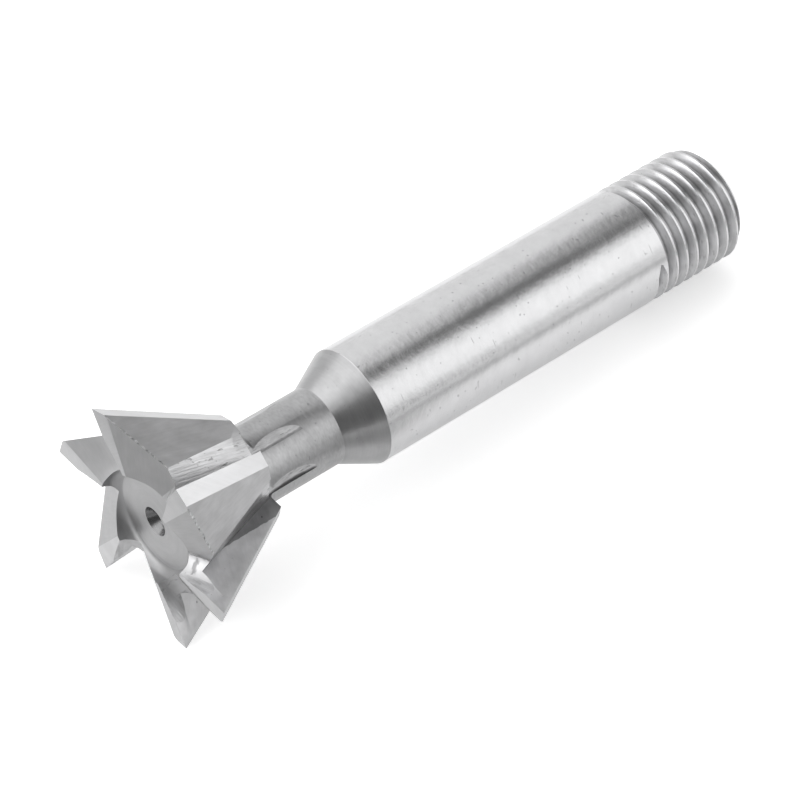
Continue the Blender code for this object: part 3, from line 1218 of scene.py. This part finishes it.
@dataclass
class Cutter:
    """The whole cutter.

    Attributes:
        blank: Its turned blank.
        tools: The tools that cut its teeth.
        thread: The thread on its shank.
        weld: How near two points lie that are merged.
        sharp_angle: The angle in degrees above which an edge is sharp.
        ring_slant: How far a ring's place moves on for each millimetre of radius.
        tooth_shift: How far the pattern moves on from tooth to tooth, so that no two look the same.
        least_radius: The radius under which the flat map no longer narrows.
        back_lead: How far in degrees the back and end faces of a tooth reach past its cutting face.
    """

    blank: Blank
    tools: ToothTools
    thread: Thread
    weld: float = 0.0008
    sharp_angle: float = 20.0
    ring_slant: float = 0.9
    tooth_shift: float = 7.3
    least_radius: float = 0.1
    back_lead: float = 5.0

    def grain_at(self, made: Made, point: Vector, local: Vector, tooth: int,
                 bearing: float) -> tuple[Vector, tuple[float, float]]:
        """Where a point lies along and across the marks of its finish.

        Args:
            made: How the face was made.
            point: The point, upright, in millimetres.
            local: The same point as seen from its tooth.
            tooth: The tooth's number.
            bearing: The angle of the face's middle, which keeps the wrap-around in one place.

        Returns:
            The grain, and the place on the flat map of the marks, in millimetres.
        """
        if made not in DIRECTIONS:
            radius = point.xy.length
            turn = math.atan2(point.y, point.x) - bearing
            turn -= 2 * math.pi * round(turn / (2 * math.pi))
            across = point.z + self.ring_slant * radius
            around_it = (bearing + turn) * max(radius, self.least_radius)
            return Vector((point.x, point.y, across)), (around_it, across)
        along, side = DIRECTIONS[made]
        place = Vector((local.dot(along) + self.tooth_shift * tooth, 0.0, local.dot(side)))
        return place, (place.x, place.z)

    def from_edge(self, made: Made, point: Vector, local: Vector) -> float:
        """Distance of a point from the marked edge of its face.

        Args:
            made: How the face was made.
            point: The point, upright, in millimetres.
            local: The same point as seen from its tooth.

        Returns:
            From the thread's root, the line inside which the cutting face is darker, the foot of the cutting
            face in the gullet or the end face, in millimetres.
        """
        if made is Made.THREAD:
            return point.xy.length - self.blank.shank_radius + self.thread.depth
        if made is Made.RAKE:
            return local.x - self.tools.rake_dark_end
        if made in (Made.GULLET, Made.RUNOUT):
            return -local.y
        return abs((local + Vector((0.0, 0.0, self.tools.end_depth))).dot(self.tools.end_direction()))

    def dress(self, mesh: bpy.types.Mesh) -> None:
        """Write the grain, the distance from the marked edge and the flat map of the marks on every corner.

        Args:
            mesh: The upright mesh, in millimetres.
        """
        first, step = self.tools.first_angle, self.tools.step
        mesh.uv_layers.new(name=MARKS)
        mesh.attributes.new(GRAIN, "FLOAT_VECTOR", "CORNER")
        mesh.attributes.new(EDGE, "FLOAT", "CORNER")
        grain, edge, marks = mesh.attributes[GRAIN].data, mesh.attributes[EDGE].data, mesh.uv_layers[MARKS].uv
        for polygon in mesh.polygons:
            made = Made(polygon.material_index)
            bearing = math.atan2(polygon.center.y, polygon.center.x)
            lead = self.back_lead if made in (Made.BACK, Made.END) else step / 2
            tooth = math.floor((math.degrees(bearing) - first + lead) / step) % self.tools.count
            turn_back = around(-(first + tooth * step))
            for corner in polygon.loop_indices:
                point = mesh.vertices[mesh.loops[corner].vertex_index].co
                local = turn_back @ point
                grain[corner].vector, marks[corner].vector = self.grain_at(made, point, local, tooth, bearing)
                edge[corner].value = self.from_edge(made, point, local)

    def clean(self, mesh: bpy.types.Mesh) -> None:
        """Merge the points that the cuts left on top of each other, and take out needless ones.

        Args:
            mesh: The mesh.
        """
        bm = bmesh.new()
        bm.from_mesh(mesh)
        bmesh.ops.remove_doubles(bm, verts=bm.verts[:], dist=self.weld)
        bmesh.ops.dissolve_degenerate(bm, edges=bm.edges[:], dist=self.weld)
        straighten(bm, 2 * self.weld)
        bm.to_mesh(mesh)
        bm.free()

    @staticmethod
    def sort_materials(mesh: bpy.types.Mesh, materials: list[Material]) -> None:
        """Put the finishes back in the order of Made.

        Args:
            mesh: The mesh, whose materials may be in any order.
            materials: The finishes, in the order of Made.
        """
        places = {material.name: number for number, material in enumerate(materials)}
        wanted = [places[mesh.materials[polygon.material_index].name] for polygon in mesh.polygons]
        mesh.materials.clear()
        for material in materials:
            mesh.materials.append(material)
        mesh.polygons.foreach_set("material_index", wanted)

    def resting_turn(self) -> Matrix:
        """Orientation at rest: two tips and the shank's end on the floor, the shank along +X.

        Returns:
            The turn.
        """
        height = self.blank.head_radius * math.cos(math.pi / self.tools.count)
        reach = self.blank.length - self.blank.end_chamfer
        tilt = math.atan2(height - self.blank.shank_radius, reach)
        up = Vector((math.sin(tilt), 0.0, math.cos(tilt)))
        along = Vector((math.cos(tilt), 0.0, -math.sin(tilt)))
        return Matrix((up, along.cross(up), along)).transposed().to_4x4()

    def lay_down(self, mesh: bpy.types.Mesh) -> None:
        """Lay the cutter down, centred over the origin, in metres.

        Args:
            mesh: The upright mesh, in millimetres.
        """
        mesh.transform(self.resting_turn())
        points = [vertex.co for vertex in mesh.vertices]
        low = Vector([min(point[axis] for point in points) for axis in range(3)])
        high = Vector([max(point[axis] for point in points) for axis in range(3)])
        middle = (low + high) / 2
        mesh.transform(Matrix.Translation((-middle.x, -middle.y, -low.z)))
        mesh.transform(Matrix.Scale(MM, 4))
        mesh.update()

    def build(self) -> bpy.types.Object:
        """Make the piece, lay it down and dress it.

        Returns:
            The finished piece.
        """
        materials = [FINISHES[made].material() for made in Made]
        body = self.blank.build(materials)
        log.info("blank: %d faces", len(body.data.polygons))
        self.tools.cut(body, materials)
        log.info("teeth: %d faces", len(body.data.polygons))
        self.thread.cut(body)
        log.info("thread: %d faces", len(body.data.polygons))
        mesh = body.data
        self.clean(mesh)
        self.sort_materials(mesh, materials)
        self.dress(mesh)
        mesh.shade_smooth()
        mesh.set_sharp_from_angle(angle=math.radians(self.sharp_angle))
        self.lay_down(mesh)
        return body


# The studio


@dataclass(frozen=True)
class SkyPatch:
    """A soft round patch of the surroundings, a lamp or a dark part of the room.

    Attributes:
        name: What it stands for.
        azimuth: Its direction round the floor, in degrees.
        elevation: Its direction over the floor, in degrees.
        inner: How far from its middle it starts to fade, in degrees.
        outer: How far it reaches, in degrees.
        level: Its strength, where 1 is white.
    """

    name: str
    azimuth: float
    elevation: float
    inner: float
    outer: float
    level: float

    def paint(self, tree: Tree, direction: Socket, under: Socket | float) -> Socket:
        """Lay the patch over the surroundings so far.

        Args:
            tree: The world's tree.
            direction: The direction looked in.
            under: The strength so far.

        Returns:
            The strength with this patch.
        """
        middle = towards(self.azimuth, self.elevation)
        facing = add(tree, "ShaderNodeVectorMath", {0: direction, 1: middle}, operation="DOT_PRODUCT")
        away = calc(tree, "ARCCOSINE", facing.outputs["Value"])
        cover = soft_step(tree, away, math.radians(self.inner), math.radians(self.outer), before=1.0)
        return add(tree, "ShaderNodeMix", {"Factor": cover, "A": under, "B": self.level}).outputs["Result"]


# In the order in which they lie over each other
SURROUNDINGS = (
    SkyPatch("room_behind_camera", -150.0, 0.0, 44.0, 52.0, 0.06),
    SkyPatch("lamp_over_head", 132.0, 50.0, 24.0, 46.0, 1.95),
    SkyPatch("gap_beyond_head", 118.0, 0.0, 10.0, 22.0, 0.5),
    SkyPatch("lamp_beyond_head", 163.0, 13.0, 15.0, 27.0, 3.3),
    SkyPatch("camera_and_stand", -122.0, 25.0, 26.0, 42.0, 0.2),
    SkyPatch("gap_between_lamps", -9.0, 60.0, 4.0, 22.0, 0.03),
    SkyPatch("gap_side", 20.0, 46.0, 2.0, 24.0, 0.4),
    SkyPatch("gap_low", 14.0, 24.0, 12.0, 30.0, 0.05),
    SkyPatch("lamp_beside_camera", -51.0, 30.0, 14.0, 26.0, 1.5),
    SkyPatch("lamp_low", -4.0, -4.0, 11.0, 24.0, 2.9),
    SkyPatch("under_lamp", -84.0, -2.0, 10.0, 20.0, 0.08),
)


@dataclass
class Studio:
    """Pale floor, soft surroundings and the camera at the photograph's viewing angle, in metres."""

    camera_place: tuple[float, float, float] = (-0.1223555, -0.1588454, 0.2305156)
    camera_azimuth: float = 53.4427
    camera_fall: float = 48.6099
    camera_roll: float = -4.0403
    camera_reach: tuple[float, float] = (0.01, 20.0)
    lens: float = 141.591
    sensor: float = 36.0
    floor_size: float = 6.0
    floor_colour: float = 0.93
    floor_roughness: float = 0.9
    floor_glow: float = 0.42
    mirrored_glow: float = 0.25
    # Painted light on the floor: a pool of light round the cutter, a painted shadow on the camera's side and
    # painted shade between the pool and the far floor, all lifted to white for the camera
    pool_middle: tuple[float, float, float] = (0.025, 0.036, 0.0)
    pool_edge: tuple[float, float] = (0.062, 0.092)
    shade_middle: tuple[float, float, float] = (-0.015, -0.035, 0.0)
    shade_edge: tuple[float, float] = (0.011, 0.026)
    far_edge: tuple[float, float] = (0.12, 0.26)
    outside_pool_share: float = 0.55
    air_level: float = 1.06

    def camera(self) -> None:
        """Make the camera, which looks down at the cutter and is turned a little about its own axis."""
        data = bpy.data.cameras.new("photo_camera")
        data.lens, data.sensor_width = self.lens, self.sensor
        data.clip_start, data.clip_end = self.camera_reach
        camera = bpy.data.objects.new("photo_camera", data)
        bpy.context.scene.collection.objects.link(camera)
        look = towards(self.camera_azimuth, -self.camera_fall)
        right = look.cross(Vector((0.0, 0.0, 1.0))).normalized()
        level = Matrix((right, right.cross(look), -look)).transposed().to_4x4()
        roll = Matrix.Rotation(math.radians(self.camera_roll), 4, "Z")
        camera.matrix_world = Matrix.Translation(self.camera_place) @ level @ roll
        bpy.context.scene.camera = camera

    def floor(self) -> None:
        """Make the floor, which stays white to the camera but keeps the cutter's shadow."""
        bm = bmesh.new()
        bmesh.ops.create_grid(bm, x_segments=1, y_segments=1, size=self.floor_size / 2)
        to_object("studio_floor", bm, [self.floor_material()])

    def floor_material(self) -> Material:
        """A white floor painted with a pool of light round the cutter and painted shade past it, lifted to
        white for the camera and a little less for mirror rays.

        Returns:
            The material.
        """
        made = bpy.data.materials.new("studio_paper")
        made.use_nodes = True
        tree = made.node_tree
        light_pool = self.light_pool(tree)
        beyond = calc(tree, "SUBTRACT", 1.0, light_pool)
        darker = 1.0 - self.outside_pool_share
        share = calc(tree, "SUBTRACT", 1.0, calc(tree, "MULTIPLY", beyond, darker))
        white = (self.floor_colour,) * 3
        paper = add(tree, "ShaderNodeVectorMath", {0: white, "Scale": share}, operation="SCALE")
        shader = tree.nodes["Principled BSDF"]
        feed(tree, shader, {
            "Base Color": paper.outputs["Vector"],
            "Roughness": self.floor_roughness,
            "Specular IOR Level": 0.0,
        })
        rays = add(tree, "ShaderNodeLightPath").outputs
        bounced = calc(tree, "ADD", rays["Is Glossy Ray"], rays["Is Transmission Ray"])
        # Mirror rays see the painted pool of light glow
        mirrored = calc(tree, "MULTIPLY", bounced, calc(tree, "MULTIPLY", light_pool, self.mirrored_glow))
        # The camera sees the painted shade past the pool lifted back to white
        lift = calc(tree, "MULTIPLY_ADD", beyond, darker, self.floor_glow)
        strength = calc(tree, "MULTIPLY_ADD", rays["Is Camera Ray"], lift, mirrored)
        glow = add(tree, "ShaderNodeEmission", {"Strength": strength})
        both = add(tree, "ShaderNodeAddShader", {0: shader.outputs["BSDF"], 1: glow.outputs["Emission"]})
        feed(tree, tree.nodes["Material Output"], {"Surface": both.outputs["Shader"]})
        return made

    def light_pool(self, tree: Tree) -> Socket:
        """Where the floor has its painted light: 1 in the pool round the cutter and far away, 0 between and
        in the painted shadow of a camera stand.

        Args:
            tree: The floor material's tree.

        Returns:
            The mask.
        """
        place = add(tree, "ShaderNodeTexCoord").outputs["Object"]
        in_pool = self.near(tree, place, self.pool_middle, self.pool_edge)
        in_shade = self.near(tree, place, self.shade_middle, self.shade_edge)
        at_hand = self.near(tree, place, self.pool_middle, self.far_edge)
        lit = calc(tree, "MULTIPLY", in_pool, calc(tree, "SUBTRACT", 1.0, in_shade))
        return calc(tree, "MAXIMUM", lit, calc(tree, "SUBTRACT", 1.0, at_hand))

    @staticmethod
    def near(tree: Tree, place: Socket, middle: tuple[float, float, float],
             edge: tuple[float, float]) -> Socket:
        """Add a soft round mask, 1 in the middle and 0 past the edge's second distance."""
        away = add(tree, "ShaderNodeVectorMath", {0: place, 1: middle}, operation="DISTANCE")
        return soft_step(tree, away.outputs["Value"], *edge, before=1.0)

    def world(self) -> None:
        """Soft white surroundings with the lamps and the darker parts of the room."""
        world = bpy.data.worlds.new("studio_air")
        world.use_nodes = True
        bpy.context.scene.world = world
        tree = world.node_tree
        direction = add(tree, "ShaderNodeTexCoord").outputs["Generated"]
        strength = self.air_level
        for patch in SURROUNDINGS:
            strength = patch.paint(tree, direction, strength)
        feed(tree, tree.nodes["Background"], {"Color": (1.0, 1.0, 1.0, 1.0), "Strength": strength})

    def build(self) -> None:
        """Set up floor, light and camera."""
        bpy.context.scene.view_settings.view_transform = "Standard"
        self.camera()
        self.floor()
        self.world()
        log.info("studio: %d patches of light and shade", len(SURROUNDINGS))


def main() -> None:
    """Build the cutter and its studio, and report each piece."""
    logging.basicConfig(level=logging.INFO, format="%(name)s: %(message)s")
    Studio().build()
    blank = Blank()
    cutter = Cutter(blank, ToothTools(blank), Thread(blank)).build()
    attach(cutter, BODY)
    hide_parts(NODE)
    log.info("%s: %d faces, %d corners", cutter.name, len(cutter.data.polygons), len(cutter.data.vertices))
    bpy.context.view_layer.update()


if __name__ == "__main__":
    main()
